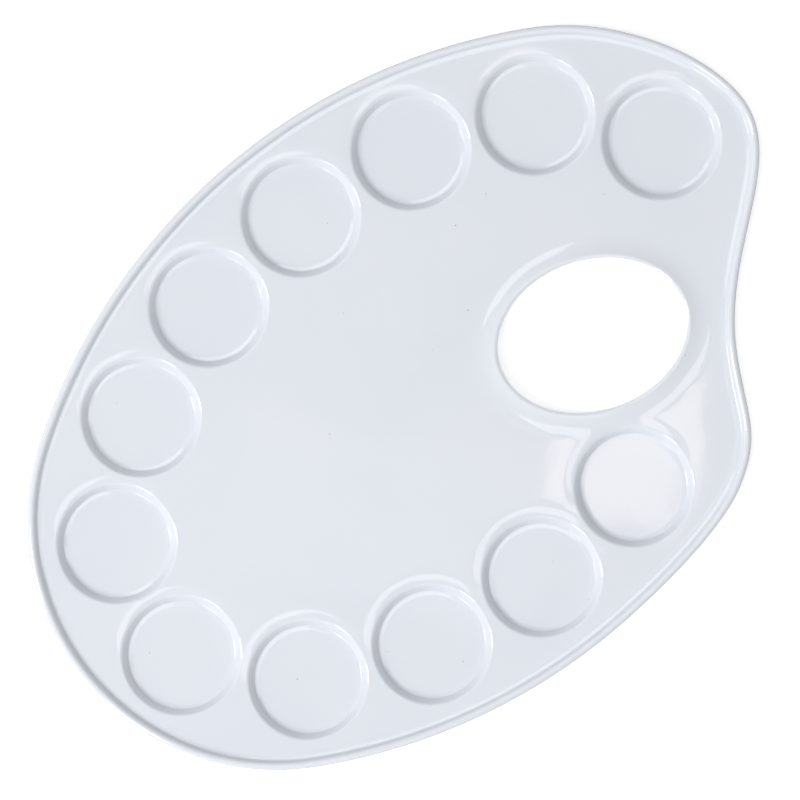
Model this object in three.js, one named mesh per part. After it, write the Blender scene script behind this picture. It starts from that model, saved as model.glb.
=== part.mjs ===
// An oval artist's mixing palette, pressed from one sheet of white plastic.
// Millimetres, +Z up. +X runs along the oval towards the thumb end, and the origin is under its middle, on
// the surface that the palette stands on.
// The sheet keeps one thickness all over: a raised rolled rim, a flat deck, round wells pressed down from it
// in a ring, and a thumb hole with a flared lip. The undersides of the wells are its feet.

import * as THREE from 'three';

// ---- Sheet and heights ----
const SHEET = 1.2;
const WELL_DEPTH = 3.5;
const RIM_RISE = 2.5; // crest of the rim above the deck
const RIM_SKIRT = 5; // crest of the rim down to the trimmed edge
const LIP_RISE = 0.9; // crest of the thumb hole's lip above the deck

const FLOOR_Z = SHEET; // upper face of a well's floor
const DECK_Z = FLOOR_Z + WELL_DEPTH;
const RIM_Z = DECK_Z + RIM_RISE;
const LIP_Z = DECK_Z + LIP_RISE;

// ---- Outline: an oval of arcs, with a finger bite in its thumb side ----
const LENGTH = 305;
const WIDTH = 210;
const END_RADIUS = 86.5;
const TOE_ARC_END = 38; // degrees round the thumb end, where the end arc hands over to the toe

// Knots of the thumb side, anticlockwise from the middle of the near side: the place of each, the outline's
// heading there in degrees, and the reach of the curve's handles before and after it.
const START = { x: 0, y: -WIDTH / 2, heading: 0, after: 8 };
const HEEL = { x: 64, y: -95.5, heading: 27, before: 19.5, after: 20.5 };
const BITE = { x: 93.5, y: -59.5, heading: 58, before: 22.5, after: 37.5 };
const TOE = { x: LENGTH / 2, y: 8.5, heading: 90, before: 28.5, after: 13 };
const TOE_JOIN_REACH = 20;

// ---- Wells: equal steps along an ellipse ----
const WELL_COUNT = 12;
const WELL_PITCH = 44.7;
const WELL_RING_X = 123.5;
const WELL_RING_Y = 74.8;
const FIRST_WELL = 10.7; // degrees of the ellipse's own angle
const WELL_MOUTH = 21.4; // radius where the deck turns down
const WELL_FLOOR = 17.9; // radius of the flat floor
const WELL_ROUNDING = 0.95; // width of the rounding at each end of the wall
const WELL_ROUNDING_DROP = 0.55;

// ---- Thumb hole ----
const HOLE = { x: 59.2, y: -22.1, halfLength: 33.5, halfWidth: 25.9, turn: -21.6 };
const LIP_FLARE = 7; // width of the lip, from the flat deck to the hole's edge
const LIP_CREST = 2; // crest of the lip, out from the hole's edge
const LIP_EDGE_DROP = 0.7; // crest down to the turned edge

// ---- Fineness of the facets ----
const EDGE_STEP = 9;
const WELL_SIDES = 24;
const HOLE_SIDES = 36;

// Sections of the sheet's upper face, outermost point first: how far each point lies outside the edge of the
// outline or the hole, or from the centre of the well, and its height.
const RIM_SECTION = [
  [0, RIM_Z - RIM_SKIRT],
  [-0.3, RIM_Z - 1.6],
  [-0.6, RIM_Z - 0.6],
  [-1.65, RIM_Z],
  [-2.75, RIM_Z - 0.6],
  [-3.5, DECK_Z + 0.4],
  [-4.9, DECK_Z],
];
const WELL_SECTION = [
  [WELL_MOUTH, DECK_Z],
  [WELL_MOUTH - WELL_ROUNDING, DECK_Z - WELL_ROUNDING_DROP],
  [WELL_FLOOR + WELL_ROUNDING, FLOOR_Z + WELL_ROUNDING_DROP],
  [WELL_FLOOR, FLOOR_Z],
];
const LIP_SECTION = [
  [LIP_FLARE, DECK_Z],
  [LIP_FLARE - 2.4, DECK_Z + LIP_RISE / 4],
  [LIP_CREST, LIP_Z],
  [0, LIP_Z - LIP_EDGE_DROP],
];

const radians = THREE.MathUtils.degToRad;

function heading(degrees) {
  return new THREE.Vector2(Math.cos(radians(degrees)), Math.sin(radians(degrees)));
}

// ---- Outline, wells and hole, seen from above ----

function knotCurve(from, to) {
  const start = new THREE.Vector2(from.x, from.y);
  const end = new THREE.Vector2(to.x, to.y);
  const leave = start.clone().addScaledVector(heading(from.heading), from.after);
  const arrive = end.clone().addScaledVector(heading(to.heading), -to.before);
  return new THREE.CubicBezierCurve(start, leave, arrive, end);
}

function arc(x, y, radius, from, to) {
  return new THREE.EllipseCurve(x, y, radius, radius, from, to, false, 0);
}

// Anticlockwise from the middle of the near side.
function outlineCurves() {
  const halfWidth = WIDTH / 2;
  const endX = LENGTH / 2 - END_RADIUS;
  // The long sides touch both end arcs, which fixes their radius.
  const sideRadius = (halfWidth ** 2 + endX ** 2 - END_RADIUS ** 2) / (2 * (halfWidth - END_RADIUS));
  const sideY = sideRadius - halfWidth;
  const junction = Math.atan2(sideY, endX);
  const join = heading(TOE_ARC_END).multiplyScalar(END_RADIUS);
  const toeJoin = { x: endX + join.x, y: join.y, heading: TOE_ARC_END + 90, before: TOE_JOIN_REACH };
  return [
    knotCurve(START, HEEL),
    knotCurve(HEEL, BITE),
    knotCurve(BITE, TOE),
    knotCurve(TOE, toeJoin),
    arc(endX, 0, END_RADIUS, radians(TOE_ARC_END), junction),
    arc(0, -sideY, sideRadius, junction, Math.PI - junction),
    arc(-endX, 0, END_RADIUS, Math.PI - junction, Math.PI + junction),
    arc(0, sideY, sideRadius, Math.PI + junction, 1.5 * Math.PI),
  ];
}

// Even stations along a curve, each with the direction that points out of the loop it belongs to.
function stations(curve, count) {
  return Array.from({ length: count }, (unused, i) => {
    const tangent = curve.getTangentAt(i / count);
    return { point: curve.getPointAt(i / count), outward: new THREE.Vector2(tangent.y, -tangent.x) };
  });
}

function outlineStations() {
  return outlineCurves().flatMap((curve) => stations(curve, Math.round(curve.getLength() / EDGE_STEP)));
}

function holeStations() {
  const edge = new THREE.EllipseCurve(
    HOLE.x,
    HOLE.y,
    HOLE.halfLength,
    HOLE.halfWidth,
    0,
    2 * Math.PI,
    false,
    radians(HOLE.turn),
  );
  return stations(edge, HOLE_SIDES);
}

function wellStations(centre) {
  return Array.from({ length: WELL_SIDES }, (unused, i) => {
    return { point: centre, outward: heading((360 * (i + 0.5)) / WELL_SIDES) };
  });
}

// Each centre is one pitch from the last along the ring, found by halving the step.
function wellCentres() {
  const onRing = (angle) => new THREE.Vector2(WELL_RING_X * Math.cos(angle), WELL_RING_Y * Math.sin(angle));
  const centres = [];
  let angle = radians(FIRST_WELL);
  for (let well = 0; well < WELL_COUNT; well += 1) {
    const centre = onRing(angle);
    centres.push(centre);
    for (let step = 0.5; step > 1e-9; step /= 2) {
      if (onRing(angle + step).distanceTo(centre) < WELL_PITCH) {
        angle += step;
      }
    }
  }
  return centres;
}

// ---- The sheet ----

// Square to the upper face, for a stretch of section that runs from one point to the next.
function faceNormal(from, to) {
  return new THREE.Vector2(to[1] - from[1], from[0] - to[0]).normalize();
}

// The lower face under a section, one sheet thickness away. Where the section meets the flat deck or a flat
// floor, the sheet is level on the far side of its end point.
function underside(section, levelStart, levelEnd) {
  const level = new THREE.Vector2(0, 1);
  return section.map((here, i) => {
    const before = section[i - 1];
    const after = section[i + 1];
    const next = after ? faceNormal(here, after) : null;
    const last = before ? faceNormal(before, here) : null;
    const first = last ?? (levelStart ? level : next);
    const second = next ?? (levelEnd ? level : last);
    const reach = SHEET / (1 + first.dot(second));
    return [here[0] - reach * (first.x + second.x), here[1] - reach * (first.y + second.y)];
  });
}

const positions = [];
const triangles = [];

// One closed loop of vertices for each point of a section. Returns the vertices' numbers.
function addLoops(base, section) {
  return section.map(([out, height]) =>
    base.map(({ point, outward }) => {
      positions.push(point.x + out * outward.x, point.y + out * outward.y, height);
      return positions.length / 3 - 1;
    }),
  );
}

function addTriangle(a, b, c, facesUp) {
  triangles.push(...(facesUp ? [a, b, c] : [a, c, b]));
}

// A band between two loops, the second inside the first when the sheet is seen from above.
function addBand(outer, inner, facesUp) {
  outer.forEach((start, i) => {
    const next = (i + 1) % outer.length;
    addTriangle(start, outer[next], inner[next], facesUp);
    addTriangle(start, inner[next], inner[i], facesUp);
  });
}

function addBands(loops, facesUp) {
  loops.slice(1).forEach((loop, i) => addBand(loops[i], loop, facesUp));
}

// A level face inside one loop and outside the others.
function addLevelFace(outline, holes, facesUp) {
  const seenFromAbove = (loop) => loop.map((v) => new THREE.Vector2(positions[3 * v], positions[3 * v + 1]));
  const vertices = [outline, ...holes].flat();
  const faces = THREE.ShapeUtils.triangulateShape(seenFromAbove(outline), holes.map(seenFromAbove));
  for (const face of faces) {
    addTriangle(vertices[face[0]], vertices[face[1]], vertices[face[2]], facesUp);
  }
}

// One face of the sheet: rim, deck, wells and lip. Returns its two free edges.
function addSheetFace(rimSection, wellSection, lipSection, facesUp) {
  const rim = addLoops(outlineStations(), rimSection);
  const lip = addLoops(holeStations(), lipSection);
  const wells = wellCentres().map((centre) => addLoops(wellStations(centre), wellSection));
  addBands(rim, facesUp);
  addBands(lip, facesUp);
  for (const well of wells) {
    addBands(well, facesUp);
    addLevelFace(well.at(-1), [], facesUp);
  }
  addLevelFace(rim.at(-1), [lip[0], ...wells.map((well) => well[0])], facesUp);
  return { trimmedEdge: rim[0], holeEdge: lip.at(-1) };
}

function paletteGeometry() {
  const upper = addSheetFace(RIM_SECTION, WELL_SECTION, LIP_SECTION, true);
  const lower = addSheetFace(
    underside(RIM_SECTION, false, true),
    underside(WELL_SECTION, true, true),
    underside(LIP_SECTION, true, false),
    false,
  );
  addBand(upper.trimmedEdge, lower.trimmedEdge, false);
  addBand(upper.holeEdge, lower.holeEdge, true);

  const geometry = new THREE.BufferGeometry();
  geometry.setAttribute('position', new THREE.Float32BufferAttribute(positions, 3));
  geometry.setIndex(triangles);
  geometry.computeVertexNormals();
  return geometry;
}

// ---- Assembly: the palette is a single pressing ----
const whitePlastic = new THREE.MeshStandardMaterial({ color: 0xe9ecf0, roughness: 0.3, metalness: 0 });

const tray = new THREE.Mesh(paletteGeometry(), whitePlastic);
tray.name = 'palette_tray';

const palette = new THREE.Group();
palette.add(tray);

export default palette;
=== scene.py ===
# The mixing palette as a finished object: one thin pressed sheet of glossy white styrene.
# The sheet's surface is built in millimetres and scaled to metres at the end.

import math

import bpy
import numpy as np
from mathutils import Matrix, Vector
from mathutils.geometry import delaunay_2d_cdt


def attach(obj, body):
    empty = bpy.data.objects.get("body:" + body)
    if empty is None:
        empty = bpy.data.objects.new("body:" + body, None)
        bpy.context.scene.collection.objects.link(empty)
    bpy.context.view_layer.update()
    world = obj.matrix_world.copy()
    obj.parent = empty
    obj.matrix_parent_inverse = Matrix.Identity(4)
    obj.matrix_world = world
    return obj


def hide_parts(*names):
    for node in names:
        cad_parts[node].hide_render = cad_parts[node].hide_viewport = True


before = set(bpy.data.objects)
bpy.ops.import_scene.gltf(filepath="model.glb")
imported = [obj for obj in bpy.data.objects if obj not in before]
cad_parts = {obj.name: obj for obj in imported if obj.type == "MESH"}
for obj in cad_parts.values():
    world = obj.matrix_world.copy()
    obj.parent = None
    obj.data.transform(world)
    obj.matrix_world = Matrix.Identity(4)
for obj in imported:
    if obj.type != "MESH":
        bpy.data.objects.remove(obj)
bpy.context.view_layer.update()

MM = 0.001

# ---------------------------------------------------------------- the sheet's dimensions, millimetres

SHEET = 1.2
DECK_Z = SHEET + 3.5
RIM_Z = DECK_Z + 2.5
SKIRT_Z = RIM_Z - 5.0  # the rim's trimmed edge

LENGTH = 305.0
WIDTH = 210.0
END_RADIUS = 86.5
TOE_ARC_END = 38.0

# Knots of the thumb side: place, heading in degrees, handle before, handle after.
KNOTS = {
    "start": (0.0, -WIDTH / 2, 0.0, 0.0, 8.0),
    "heel": (64.0, -95.5, 27.0, 19.5, 20.5),
    "bite": (93.5, -59.5, 58.0, 22.5, 37.5),
    "toe": (LENGTH / 2, 8.5, 90.0, 28.5, 13.0),
}
TOE_JOIN_REACH = 20.0

WELL_COUNT = 12
WELL_PITCH = 44.7
WELL_RING = (123.5, 74.8)
FIRST_WELL = 10.7
WELL_TOP = 20.7  # radius where the wall's line meets the deck
WELL_FLOOR = 18.75  # radius where it meets the faint ramp round the floor
RAMP_END = 17.2  # radius where the ramp meets the flat floor
RAMP_RISE = 0.13
WELL_ROUNDS = [1.3, 0.8, 8.0]  # roundings at the mouth, at the foot of the wall and at the ramp's end

HOLE_CENTRE = (59.2, -22.1)
HOLE_RADII = (33.5, 25.9)
HOLE_TURN = -21.6
LIP_WIDTH = 7.0
LIP_TURN = (1.2, 0.9)  # the turned edge: its reach out from the hole's outline, and its drop
LIP_ROUND = 1.35  # rounding where the lip turns down
LIP_STEP = 0.9  # from one loop of the lip to the next
LIP_GAP = 0.5  # least distance from the last of those loops to the rounding

# The rim's section, from the outline inward: the place of each corner of its ideal line, counted outward
# from the outline, and its height. The line's apex stands well above the crest, which is rounded off.
RIM_CORNERS = [
    (0.0, SKIRT_Z),
    (-0.74, RIM_Z + 4.58),
    (-3.35, DECK_Z + 0.23),
    (-5.0, DECK_Z),
    (-8.0, DECK_Z),
]
RIM_ROUNDS = [1.3, 0.7, 10.0]  # roundings at the crest, at the inner wall's foot and where the deck begins

# ---------------------------------------------------------------- plan curves

CURVE_POINTS = 801  # points that a curve is drawn with before it is divided evenly
ANGLE_TOLERANCE = 1e-9


def unit(degrees):
    angle = np.radians(degrees)
    return np.array([np.cos(angle), np.sin(angle)])


def bezier(start, end):
    """Points and headings of the curve between two knots."""
    p0 = np.array(start[:2])
    p3 = np.array(end[:2])
    p1 = p0 + unit(start[2]) * start[4]
    p2 = p3 - unit(end[2]) * end[3]
    t = np.linspace(0, 1, CURVE_POINTS)[:, None]
    points = (1 - t) ** 3 * p0 + 3 * (1 - t) ** 2 * t * p1 + 3 * (1 - t) * t**2 * p2 + t**3 * p3
    slopes = (1 - t) ** 2 * (p1 - p0) + 2 * (1 - t) * t * (p2 - p1) + t**2 * (p3 - p2)
    return points, slopes / np.linalg.norm(slopes, axis=1)[:, None]


def ellipse(centre, radii, turn, start, end):
    """Points and headings along an ellipse, anticlockwise. start and end are its own angles, in radians."""
    t = np.linspace(start, end, CURVE_POINTS)
    along, across = unit(turn), unit(turn + 90)
    points = np.outer(radii[0] * np.cos(t), along) + np.outer(radii[1] * np.sin(t), across) + centre
    slopes = np.outer(-radii[0] * np.sin(t), along) + np.outer(radii[1] * np.cos(t), across)
    return points, slopes / np.linalg.norm(slopes, axis=1)[:, None]


def even_stations(curve, step):
    """Evenly spaced points of a curve without its last one, each with the direction out of the loop."""
    points, headings = curve
    run = np.r_[0, np.cumsum(np.linalg.norm(np.diff(points, axis=0), axis=1))]
    count = max(4, round(run[-1] / step))
    at = np.linspace(0, run[-1], count, endpoint=False)
    where = np.column_stack([np.interp(at, run, points[:, i]) for i in (0, 1)])
    head = np.column_stack([np.interp(at, run, headings[:, i]) for i in (0, 1)])
    head /= np.linalg.norm(head, axis=1)[:, None]
    return where, np.column_stack([head[:, 1], -head[:, 0]])


def join(parts):
    return np.vstack([p[0] for p in parts]), np.vstack([p[1] for p in parts])


def outline_stations(step):
    half_width = WIDTH / 2
    end_x = LENGTH / 2 - END_RADIUS
    side = (half_width**2 + end_x**2 - END_RADIUS**2) / (2 * (half_width - END_RADIUS))
    side_y = side - half_width
    turn = math.atan2(side_y, end_x)
    toe_end = unit(TOE_ARC_END) * END_RADIUS + (end_x, 0)
    toe_join = (toe_end[0], toe_end[1], TOE_ARC_END + 90, TOE_JOIN_REACH, 0.0)
    start, heel, bite, toe = (KNOTS[k] for k in ("start", "heel", "bite", "toe"))
    curves = [bezier(start, heel), bezier(heel, bite), bezier(bite, toe), bezier(toe, toe_join)]
    arcs = [
        ((end_x, 0), END_RADIUS, math.radians(TOE_ARC_END), turn),
        ((0, -side_y), side, turn, math.pi - turn),
        ((-end_x, 0), END_RADIUS, math.pi - turn, math.pi + turn),
        ((0, side_y), side, math.pi + turn, 1.5 * math.pi),
    ]
    curves += [ellipse(centre, (r, r), 0, a, b) for centre, r, a, b in arcs]
    return join([even_stations(curve, step) for curve in curves])


def hole_stations(step):
    return even_stations(ellipse(HOLE_CENTRE, HOLE_RADII, HOLE_TURN, 0, 2 * math.pi), step)


def well_centres():
    """Each centre is one pitch from the last along the ring, found by halving the step."""

    def on_ring(angle):
        return np.array([WELL_RING[0] * math.cos(angle), WELL_RING[1] * math.sin(angle)])

    centres = []
    angle = math.radians(FIRST_WELL)
    for _ in range(WELL_COUNT):
        here = on_ring(angle)
        centres.append(here)
        step = 0.5
        while step > ANGLE_TOLERANCE:
            if np.linalg.norm(on_ring(angle + step) - here) < WELL_PITCH:
                angle += step
            step /= 2
    return centres


# ---------------------------------------------------------------- sections of the sheet, seen side on

ROUND_STEP = math.radians(9)
TRIM_ROUND = 0.25  # rounding of the two corners of a trimmed edge
TRIM_POINTS = 4  # points round each of those corners


def section(corners, rounds):
    """The sheet's upper face in section: straight runs with rounded corners, one row for each point.

    A row is place, height, the two parts of the normal, and 0 for the glossy face or 1 for a dull one.
    Places count outward in the plan. A section runs from its outermost point inward, so its normals point
    up."""
    corners = [np.array(corner, float) for corner in corners]

    def normal(a, b):
        along = (b - a) / np.linalg.norm(b - a)
        return np.array([along[1], -along[0]])

    rows = [[*corners[0], *normal(corners[0], corners[1]), 0]]
    for i, radius in enumerate(rounds, start=1):
        before = normal(corners[i - 1], corners[i])
        after = normal(corners[i], corners[i + 1])
        bend = math.atan2(before[0] * after[1] - before[1] * after[0], before @ after)
        bulge = math.copysign(radius, bend)
        back = (corners[i - 1] - corners[i]) / np.linalg.norm(corners[i - 1] - corners[i])
        centre = corners[i] + back * radius * math.tan(abs(bend) / 2) - bulge * before
        steps = math.ceil(abs(bend) / ROUND_STEP)
        for turn in np.linspace(0, bend, steps + 1):
            cos, sin = math.cos(turn), math.sin(turn)
            n = np.array([before[0] * cos - before[1] * sin, before[0] * sin + before[1] * cos])
            rows.append([*(centre + bulge * n), *n, 0])
    rows.append([*corners[-1], *normal(corners[-2], corners[-1]), 0])
    return np.array(rows)


def lower_face(rows):
    """The lower face under a section, one sheet thickness away, with its normals pointing down."""
    normals = rows[:, 2:4]
    return np.column_stack([rows[:, :2] - SHEET * normals, -normals, np.ones(len(rows))])


def trimmed_edge(row, beyond):
    """Rows round a trimmed edge, from the upper face to the lower. beyond points off the sheet's end."""
    tip, up = row[:2], row[2:4]
    rows = []
    for depth, first, second in ((TRIM_ROUND, up, beyond), (SHEET - TRIM_ROUND, beyond, -up)):
        centre = tip - TRIM_ROUND * beyond - depth * up
        for turn in np.linspace(0, math.pi / 2, TRIM_POINTS):
            n = math.cos(turn) * first + math.sin(turn) * second
            rows.append([*(centre + TRIM_ROUND * n), *n, 1])
    return np.array(rows)


def rim_section():
    """From the deck's lower face out to the trimmed edge, then over the crest to the deck's upper face."""
    upper = section(RIM_CORNERS, RIM_ROUNDS)[:-1]
    beyond = np.array([upper[0, 3], -upper[0, 2]])
    edge = trimmed_edge(upper[0], beyond)
    return np.vstack([lower_face(upper[1:])[::-1], edge[::-1], upper[1:]])


def lip_section():
    """From the deck's upper face over the turned edge and back below. unevenness() raises all of it."""
    reach, drop = LIP_TURN
    corners = [(LIP_WIDTH + 2, DECK_Z), (reach, DECK_Z), (0, DECK_Z - drop)]
    turned = section(corners, [LIP_ROUND])[1:]
    places = np.arange(LIP_WIDTH, turned[0, 0] + LIP_GAP, -LIP_STEP)
    level = [(place, DECK_Z, 0, 1, 0) for place in places]
    upper = np.vstack([level, turned])
    beyond = np.array([-upper[-1, 3], upper[-1, 2]])
    return np.vstack([upper[:-1], trimmed_edge(upper[-1], beyond), lower_face(upper[:-1])[::-1]])


def well_section():
    """From the mouth down to the edge of the flat floor."""
    wall = [(WELL_TOP, DECK_Z), (WELL_FLOOR, SHEET + RAMP_RISE)]
    corners = [(WELL_TOP + 3, DECK_Z), *wall, (RAMP_END, SHEET), (RAMP_END - 3, SHEET)]
    return section(corners, WELL_ROUNDS)[1:-1]


# ---------------------------------------------------------------- the gentle unevenness of a pressed sheet

WALL = (18.9, 20.9)  # radii between which a well's wall takes up the unevenness of the deck
DRAW = 0.45  # how far the deck is drawn down on one side of each well
DRAW_REACH = 4.3  # how far out from the wall the draw dies away
DRAW_TOWARDS = 75.0  # the side of each well that is drawn down most, degrees
SWELL = 1.6  # how far the deck rises to the thumb hole's edge
SWELL_REACH = 9.5  # how far out from the hole's edge the swell dies away
SWELL_POWER = 2.3
SWELL_INSIDE = -0.2  # the swell still grows inside the outline, as far as this part of its reach
HOLE_MIDDLE = 0.1  # nearer the hole's middle than this part of its radius, distances aren't needed
# Broad, shallow waves of the deck: centre, height and spread.
WAVES = [
    ((-60.0, 0.0), 0.10, 45.0),
    ((10.0, 25.0), -0.08, 35.0),
    ((75.0, 30.0), 0.07, 30.0),
    ((95.0, -20.0), -0.06, 22.0),
    ((44.0, -64.0), -0.13, 16.0),
    ((-4.0, 95.0), -0.12, 16.0),
]


def unevenness(points, wells):
    """Height in millimetres, at each point of the plan, of the real sheet above the ideal one."""
    offset = points - HOLE_CENTRE
    along, across = offset @ unit(HOLE_TURN), offset @ unit(HOLE_TURN + 90)
    size = np.hypot(along / HOLE_RADII[0], across / HOLE_RADII[1])
    out = np.linalg.norm(offset, axis=1) * (1 - 1 / np.maximum(size, HOLE_MIDDLE))
    height = SWELL * (1 - np.clip(out / SWELL_REACH, SWELL_INSIDE, 1)) ** SWELL_POWER
    for centre, rise, spread in WAVES:
        far = np.linalg.norm(points - centre, axis=1) / spread
        height += rise * np.exp(-(far**2))
    for centre in wells:
        offset = points - centre
        distance = np.maximum(np.linalg.norm(offset, axis=1), WALL[0])
        out = np.clip((distance - WALL[1]) / DRAW_REACH, 0, 1)
        height -= DRAW * np.maximum(offset @ unit(DRAW_TOWARDS) / distance, 0) * (1 - out) ** 2
        up = np.clip((distance - WALL[0]) / (WALL[1] - WALL[0]), 0, 1)
        height *= up**2 * (3 - 2 * up)
    return height


# ---------------------------------------------------------------- mesh

OUTLINE_STEP = 1.6
HOLE_STEP = 1.2
WELL_SIDES = 120
FLOOR_RINGS = (12.0, 6.0)
DECK_STEP = 3.2
DECK_MARGIN = 1.1  # least distance from an inner point of the deck to the edge of the deck
DRAW_RINGS = (22.1, 22.8, 23.5, 24.2, 24.8)  # radii of the rings of points where the deck is drawn down
DRAW_RING_STEP = 2.0
GRID_GAP = 1.2  # least distance from the triangular grid to where the draw dies away
SLOPE_REACH = 0.05  # distance over which the slope of the unevenness is taken
SAME_POINT = 1e-6  # points of the deck nearer than this would be merged


class Sheet:
    """Vertices with their normals and dullness, and the faces between them."""

    def __init__(self):
        self.points = []
        self.normals = []
        self.dull = []
        self.faces = []

    def add(self, points, normals, dull):
        first = len(self.points)
        self.points.extend(points)
        self.normals.extend(normals)
        self.dull.extend([dull] * len(points))
        return list(range(first, len(self.points)))

    def loops(self, places, outward, rows):
        """One closed loop of vertices for each row of a section that follows a curve of the plan."""
        result = []
        for place, height, out, up, dull in rows:
            flat = places + place * outward
            points = np.column_stack([flat, np.full(len(flat), height)])
            normals = np.column_stack([out * outward, np.full(len(flat), up)])
            result.append(self.add(points, normals, dull))
        return result

    def bands(self, loops):
        """Faces between loops, from the outermost on the upper face to the outermost on the lower."""
        for outer, inner in zip(loops, loops[1:]):
            for a, b, c, d in zip(outer, outer[1:] + outer[:1], inner[1:] + inner[:1], inner):
                self.faces.append((a, b, c, d))

    def disc(self, loop, centre, height, up):
        """A flat floor inside a loop, as rings and a middle point."""
        outward = np.array([unit(360 * (i + 0.5) / len(loop)) for i in range(len(loop))])
        places = np.tile(centre, (len(loop), 1))
        dull = self.dull[loop[0]]
        rings = [loop] + self.loops(places, outward, [(r, height, 0, up, dull) for r in FLOOR_RINGS])
        middle = self.add([(*centre, height)], [(0, 0, up)], dull)[0]
        start = len(self.faces)
        self.bands(rings)
        last = rings[-1]
        self.faces += [(a, b, middle) for a, b in zip(last, last[1:] + last[:1])]
        if up < 0:
            self.faces[start:] = [face[::-1] for face in self.faces[start:]]


def inside(points, loop):
    """Which points lie inside a closed loop."""
    x, y = points[:, :1], points[:, 1:]
    ax, ay = loop[:, 0], loop[:, 1]
    bx, by = np.roll(ax, -1), np.roll(ay, -1)
    crosses = (ay > y) != (by > y)
    level = np.where(by == ay, 1, by - ay)
    left = x < ax + (y - ay) * (bx - ax) / level
    return (crosses & left).sum(axis=1) % 2 == 1


def deck_grid(outline, holes, wells):
    """Inner points of the deck: a triangular grid, and rings round the wells where it is drawn down."""
    columns = np.arange(-LENGTH / 2, LENGTH / 2, DECK_STEP)
    rows = np.arange(-WIDTH / 2, WIDTH / 2, DECK_STEP * math.sqrt(3) / 2)
    grid = [(x + DECK_STEP / 2 * (i % 2), y) for i, y in enumerate(rows) for x in columns]
    clear = np.array(grid)
    for centre in wells:
        clear = clear[np.linalg.norm(clear - centre, axis=1) > WALL[1] + DRAW_REACH + GRID_GAP]
    rings = []
    for i, centre in enumerate(wells):
        for radius in DRAW_RINGS:
            count = round(2 * math.pi * radius / DRAW_RING_STEP)
            ring = np.array([centre + radius * unit(360 * k / count) for k in range(count)])
            for other in wells[:i] + wells[i + 1 :]:
                nearer = np.linalg.norm(ring - other, axis=1) > np.linalg.norm(ring - centre, axis=1)
                ring = ring[nearer]
            rings.append(ring)
    points = np.vstack([clear, *rings])
    points = points[inside(points, outline)]
    for hole in holes:
        points = points[~inside(points, hole)]
    for loop in [outline, *holes]:
        gaps = np.linalg.norm(points[:, None] - loop[None], axis=2).min(axis=1)
        points = points[gaps > DECK_MARGIN]
    return points


def add_deck(sheet, outline, holes, inner, height, up):
    """The flat deck between one outer loop and the loops of the wells and the hole."""
    added = sheet.add([(*p, height) for p in inner], [(0, 0, up)] * len(inner), 0 if up > 0 else 1)
    numbers = [*outline, *(n for hole in holes for n in hole), *added]
    flat = np.array([sheet.points[n][:2] for n in numbers])
    edges = []
    first = 0
    for loop in [outline, *holes]:
        edges += [(first + i, first + (i + 1) % len(loop)) for i in range(len(loop))]
        first += len(loop)
    triangles = delaunay_2d_cdt([Vector(p) for p in flat], edges, [], 0, SAME_POINT)[2]
    middles = np.array([flat[list(t)].mean(axis=0) for t in triangles])
    loop_points = [np.array([sheet.points[n][:2] for n in loop]) for loop in [outline, *holes]]
    keep = inside(middles, loop_points[0])
    for loop in loop_points[1:]:
        keep &= ~inside(middles, loop)
    for triangle, kept in zip(triangles, keep):
        if kept:
            face = tuple(numbers[i] for i in triangle)
            sheet.faces.append(face if up > 0 else face[::-1])


def build_sheet():
    sheet = Sheet()
    wells = well_centres()
    rim = sheet.loops(*outline_stations(OUTLINE_STEP), rim_section())
    lip = sheet.loops(*hole_stations(HOLE_STEP), lip_section())
    sheet.bands(rim)
    sheet.bands(lip)
    outward = np.array([unit(360 * (i + 0.5) / WELL_SIDES) for i in range(WELL_SIDES)])
    rows = well_section()
    mouths = {1: [], -1: []}
    for centre in wells:
        places = np.tile(centre, (WELL_SIDES, 1))
        upper = sheet.loops(places, outward, rows)
        lower = sheet.loops(places, outward, lower_face(rows)[::-1])
        sheet.bands(upper)
        sheet.bands(lower)
        sheet.disc(upper[-1], centre, SHEET, 1)
        sheet.disc(lower[0], centre, 0, -1)
        mouths[1].append(upper[0])
        mouths[-1].append(lower[-1])

    def flat(loop):
        return np.array([sheet.points[n][:2] for n in loop])

    upper_deck = (1, DECK_Z, rim[-1], lip[0])
    lower_deck = (-1, DECK_Z - SHEET, rim[0], lip[-1])
    for up, height, outline, hole in (upper_deck, lower_deck):
        holes = [hole, *mouths[up]]
        inner = deck_grid(flat(outline), [flat(h) for h in holes], wells)
        add_deck(sheet, outline, holes, inner, height, up)

    points, normals = np.array(sheet.points), np.array(sheet.normals)
    here = unevenness(points[:, :2], wells)
    slope_x = (unevenness(points[:, :2] + (SLOPE_REACH, 0), wells) - here) / SLOPE_REACH
    slope_y = (unevenness(points[:, :2] + (0, SLOPE_REACH), wells) - here) / SLOPE_REACH
    lean = -normals[:, 2]
    normals[:, 0] += lean * slope_x
    normals[:, 1] += lean * slope_y
    normals /= np.linalg.norm(normals, axis=1)[:, None]
    points[:, 2] += here
    return points, normals, sheet


def show(name, data):
    """A new object in the scene."""
    made = bpy.data.objects.new(name, data)
    bpy.context.scene.collection.objects.link(made)
    return made


def palette_object():
    points, normals, sheet = build_sheet()
    mesh = bpy.data.meshes.new("palette_sheet")
    mesh.from_pydata((points * MM).tolist(), [], sheet.faces)
    mesh.polygons.foreach_set("use_smooth", [True] * len(mesh.polygons))
    mesh.normals_split_custom_set_from_vertices(normals.tolist())
    mesh.attributes.new("dull", "FLOAT", "POINT").data.foreach_set("value", sheet.dull)
    return show("palette_sheet", mesh)


# ---------------------------------------------------------------- materials

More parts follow.
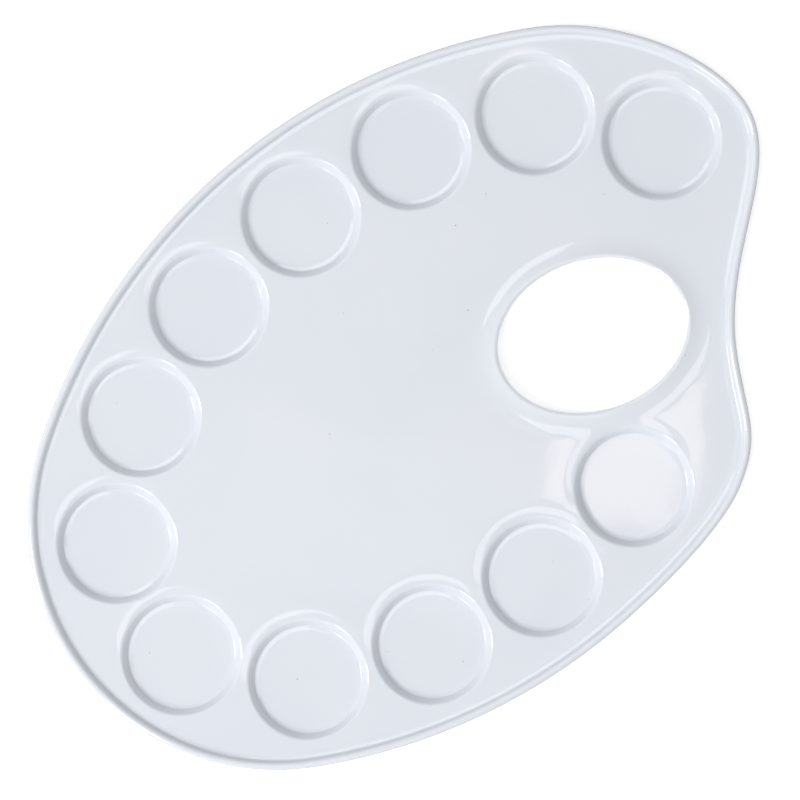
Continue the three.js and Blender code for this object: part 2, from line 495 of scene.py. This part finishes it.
# Linear colours.
STYRENE_DARK = (0.737, 0.768, 0.826, 1)
STYRENE_LIGHT = (0.752, 0.783, 0.836, 1)
SPECK = (0.16, 0.17, 0.19, 1)
FLOOR_DARK = (0.79, 0.79, 0.79, 1)
FLOOR_LIGHT = (0.81, 0.81, 0.81, 1)
FLOOR_GLOW = 0.6  # emission, for the camera's own rays only

GLOSS_ROUGHNESS = 0.032
DULL_ROUGHNESS = 0.37  # added where the sheet met the mould and on trimmed edges
FILM = 0.006  # roughness varies by this much either way
SPECK_CHANCE = 0.72  # cells that draw more than this have a speck
SPECK_RADIUS = 0.016  # of the largest speck, as part of its cell
SPECK_STRENGTH = 0.55
# Metres: how far apart the lumps or cells of each pattern are, then how high each kind of bump is.
CLOUD_PERIOD = 0.045
FLOOR_PERIOD = 0.4
SPECK_CELL = 0.016
FILM_PERIOD = 0.03
RIPPLE_PERIOD = 0.009
PEEL_PERIOD = 0.0011
GRAIN_PERIOD = 0.0005
RIPPLE = 0.000008
PEEL = 0.0000025
GRAIN = 0.00002


class Nodes:
    """A node tree built node by node."""

    def __init__(self, tree):
        self.tree = tree
        tree.nodes.clear()

    def add(self, kind, inputs=None, **settings):
        node = self.tree.nodes.new(kind)
        for name, value in settings.items():
            setattr(node, name, value)
        for name, value in (inputs or {}).items():
            if isinstance(value, bpy.types.NodeSocket):
                self.tree.links.new(value, node.inputs[name])
            else:
                node.inputs[name].default_value = value
        return node

    def math(self, operation, a, b=0.0, c=0.0):
        return self.add("ShaderNodeMath", {0: a, 1: b, 2: c}, operation=operation).outputs[0]

    def span(self, value, low, high, to_low, to_high):
        """value, remapped from low..high to to_low..to_high."""
        inputs = {0: value, 1: low, 2: high, 3: to_low, 4: to_high}
        return self.add("ShaderNodeMapRange", inputs).outputs[0]

    def noise(self, place, period, detail=2.0):
        """Noise whose lumps are about period metres apart, mostly between 0.3 and 0.7."""
        inputs = {"Vector": place, "Scale": 1 / period, "Detail": detail}
        return self.add("ShaderNodeTexNoise", inputs).outputs["Fac"]

    def mix(self, factor, a, b):
        inputs = {"Factor": factor, "A": a, "B": b}
        node = self.add("ShaderNodeMix", data_type="RGBA")
        for name, value in inputs.items():
            kind = "VALUE" if name == "Factor" else "RGBA"
            socket = next(s for s in node.inputs if s.name == name and s.type == kind)
            if isinstance(value, bpy.types.NodeSocket):
                self.tree.links.new(value, socket)
            else:
                socket.default_value = value
        return next(s for s in node.outputs if s.type == "RGBA")


def styrene():
    """Glossy cool white styrene: faint clouds, orange peel, a few specks, dull where it met the mould."""
    material = bpy.data.materials.new("white_styrene")
    material.use_nodes = True
    nodes = Nodes(material.node_tree)
    place = nodes.add("ShaderNodeTexCoord").outputs["Object"]
    dull = nodes.add("ShaderNodeAttribute", attribute_name="dull").outputs["Fac"]

    clouds = nodes.span(nodes.noise(place, CLOUD_PERIOD), 0.35, 0.65, 0.0, 1.0)
    colour = nodes.mix(clouds, STYRENE_DARK, STYRENE_LIGHT)
    scatter = {"Vector": place, "Scale": 1 / SPECK_CELL}
    cells = nodes.add("ShaderNodeTexVoronoi", scatter, voronoi_dimensions="2D")
    chance = nodes.add("ShaderNodeSeparateColor", {"Color": cells.outputs["Color"]}).outputs[0]
    radius = nodes.span(chance, SPECK_CHANCE, 1.0, 0.0, SPECK_RADIUS)
    speck = nodes.math("LESS_THAN", cells.outputs["Distance"], radius)
    colour = nodes.mix(nodes.math("MULTIPLY", speck, SPECK_STRENGTH), colour, SPECK)

    film = nodes.span(nodes.noise(place, FILM_PERIOD, 4.0), 0.3, 0.7, -FILM, FILM)
    rough = nodes.math("MULTIPLY_ADD", dull, DULL_ROUGHNESS, GLOSS_ROUGHNESS)
    rough = nodes.math("ADD", rough, film)

    peel = nodes.noise(place, PEEL_PERIOD, 1.0)
    ripple = nodes.noise(place, RIPPLE_PERIOD, 1.0)
    grain = nodes.math("MULTIPLY", nodes.noise(place, GRAIN_PERIOD, 2.0), dull)
    bumps = nodes.add("ShaderNodeBump", {"Height": ripple, "Distance": RIPPLE})
    for height, distance in ((peel, PEEL), (grain, GRAIN)):
        inputs = {"Height": height, "Distance": distance, "Normal": bumps.outputs[0]}
        bumps = nodes.add("ShaderNodeBump", inputs)

    inputs = {"Base Color": colour, "Roughness": rough, "Normal": bumps.outputs[0], "IOR": 1.59}
    surface = nodes.add("ShaderNodeBsdfPrincipled", inputs)
    nodes.add("ShaderNodeOutputMaterial", {"Surface": surface.outputs[0]})
    return material


def floor_paint():
    """Matt white with hardly any variation. Its glow shows to the camera only and lights nothing."""
    material = bpy.data.materials.new("studio_floor")
    material.use_nodes = True
    nodes = Nodes(material.node_tree)
    place = nodes.add("ShaderNodeTexCoord").outputs["Object"]
    shade = nodes.span(nodes.noise(place, FLOOR_PERIOD), 0.3, 0.7, 0.0, 1.0)
    colour = nodes.mix(shade, FLOOR_DARK, FLOOR_LIGHT)
    inputs = {"Base Color": colour, "Roughness": 0.9}
    surface = nodes.add("ShaderNodeBsdfPrincipled", inputs)
    surface.inputs["Specular IOR Level"].default_value = 0.1
    surface.inputs["Emission Color"].default_value = (1, 1, 1, 1)
    seen = nodes.add("ShaderNodeLightPath").outputs["Is Camera Ray"]
    nodes.tree.links.new(nodes.math("MULTIPLY", seen, FLOOR_GLOW), surface.inputs["Emission Strength"])
    nodes.add("ShaderNodeOutputMaterial", {"Surface": surface.outputs[0]})
    return material


# ---------------------------------------------------------------- floor, light and camera

VIEW_TURN = 40.45  # how far the palette's length is turned up from the picture's horizontal, degrees
RIGHT = np.array([*unit(-VIEW_TURN), 0.0])
UP = np.array([*unit(90 - VIEW_TURN), 0.0])
CAMERA_HEIGHT = 2.2
SENSOR = 36.0
VIEW_WIDTH = 277.08 * MM  # what the picture spans at the height of the rim
VIEW_CENTRE = (-7.31 * RIGHT - 0.83 * UP) * MM
PANEL_HEIGHT = 2.4
SOFTBOX_DISTANCE = 2.6
KEY_SIZE = (0.48, 0.9)
FILL_SIZE = (0.7, 0.7)
SKY = (0.75, 0.36)  # radiance at the horizon and overhead, for every ray but the camera's own


def floor():
    side = 4.0
    level = -0.1 * MM
    corners = [(-side, -side, level), (side, -side, level), (side, side, level), (-side, side, level)]
    mesh = bpy.data.meshes.new("studio_floor")
    mesh.from_pydata(corners, [], [(0, 1, 2, 3)])
    mesh.materials.append(floor_paint())
    return show("studio_floor", mesh)


def softbox(name, azimuth, elevation, size, radiance):
    """A rectangular light that faces the palette. azimuth is anticlockwise from its length, in degrees."""
    light = bpy.data.lights.new(name, "AREA")
    light.shape = "RECTANGLE"
    light.size, light.size_y = size
    light.energy = radiance * math.pi * size[0] * size[1]
    lamp = show(name, light)
    flat = math.cos(math.radians(elevation))
    away = Vector((*(unit(azimuth) * flat), math.sin(math.radians(elevation))))
    lamp.location = away * SOFTBOX_DISTANCE
    lamp.rotation_mode = "QUATERNION"
    lamp.rotation_quaternion = away.to_track_quat("Z", "Y")
    lamp.visible_camera = False
    return lamp


def panel(name, azimuth, inner, size, radiance):
    """A level light whose inner edge is that far from the middle. size is outward, then across."""
    lamp = softbox(name, azimuth, 90, size, radiance)
    middle = unit(azimuth) * (inner + size[0] / 2)
    lamp.location = (middle[0], middle[1], PANEL_HEIGHT)
    lamp.rotation_mode = "XYZ"
    lamp.rotation_euler = (0, 0, math.radians(azimuth))
    return lamp


def lights():
    world = bpy.data.worlds.new("studio")
    bpy.context.scene.world = world
    world.use_nodes = True
    nodes = Nodes(world.node_tree)
    seen = nodes.add("ShaderNodeLightPath").outputs["Is Camera Ray"]
    way = nodes.add("ShaderNodeTexCoord").outputs["Generated"]
    height = nodes.add("ShaderNodeSeparateXYZ", {"Vector": way}).outputs["Z"]
    soft = nodes.span(height, 0.0, 1.0, *SKY)
    strength = nodes.math("MAXIMUM", seen, soft)
    background = nodes.add("ShaderNodeBackground", {"Color": (1, 1, 1, 1), "Strength": strength})
    nodes.add("ShaderNodeOutputWorld", {"Surface": background.outputs[0]})
    softbox("key_left", azimuth=152.5, elevation=45, size=KEY_SIZE, radiance=18.9)
    softbox("key_right", azimuth=194.5, elevation=45, size=KEY_SIZE, radiance=12.2)
    softbox("fill_front", azimuth=-120.5, elevation=50, size=FILL_SIZE, radiance=1.3)
    softbox("fill_back", azimuth=79.5, elevation=50, size=FILL_SIZE, radiance=1.1)
    panel("overhead_front", azimuth=-95.5, inner=0.218, size=(0.4, 0.8), radiance=1.95)
    panel("overhead_back", azimuth=81.5, inner=0.36, size=(0.45, 0.6), radiance=2.15)
    window = panel("overhead_thumb_end", azimuth=-51.5, inner=0.111, size=(0.093, 0.122), radiance=2.35)
    window.data.color = (1.0, 0.9, 0.82)
    panel("overhead_middle", azimuth=-142.0, inner=0.015, size=(0.14, 0.235), radiance=0.33)


def camera():
    data = bpy.data.cameras.new("camera")
    data.sensor_width = SENSOR
    data.lens = SENSOR * (CAMERA_HEIGHT - RIM_Z * MM) / VIEW_WIDTH
    data.clip_start = 0.1
    data.clip_end = 20
    eye = show("camera", data)
    eye.location = (VIEW_CENTRE[0], VIEW_CENTRE[1], CAMERA_HEIGHT)
    eye.rotation_euler = (0, 0, math.radians(-VIEW_TURN))
    bpy.context.scene.camera = eye


bpy.context.scene.view_settings.view_transform = "Standard"
palette = palette_object()
palette.data.materials.append(styrene())
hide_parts("palette_tray")
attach(palette, "root")
floor()
lights()
camera()
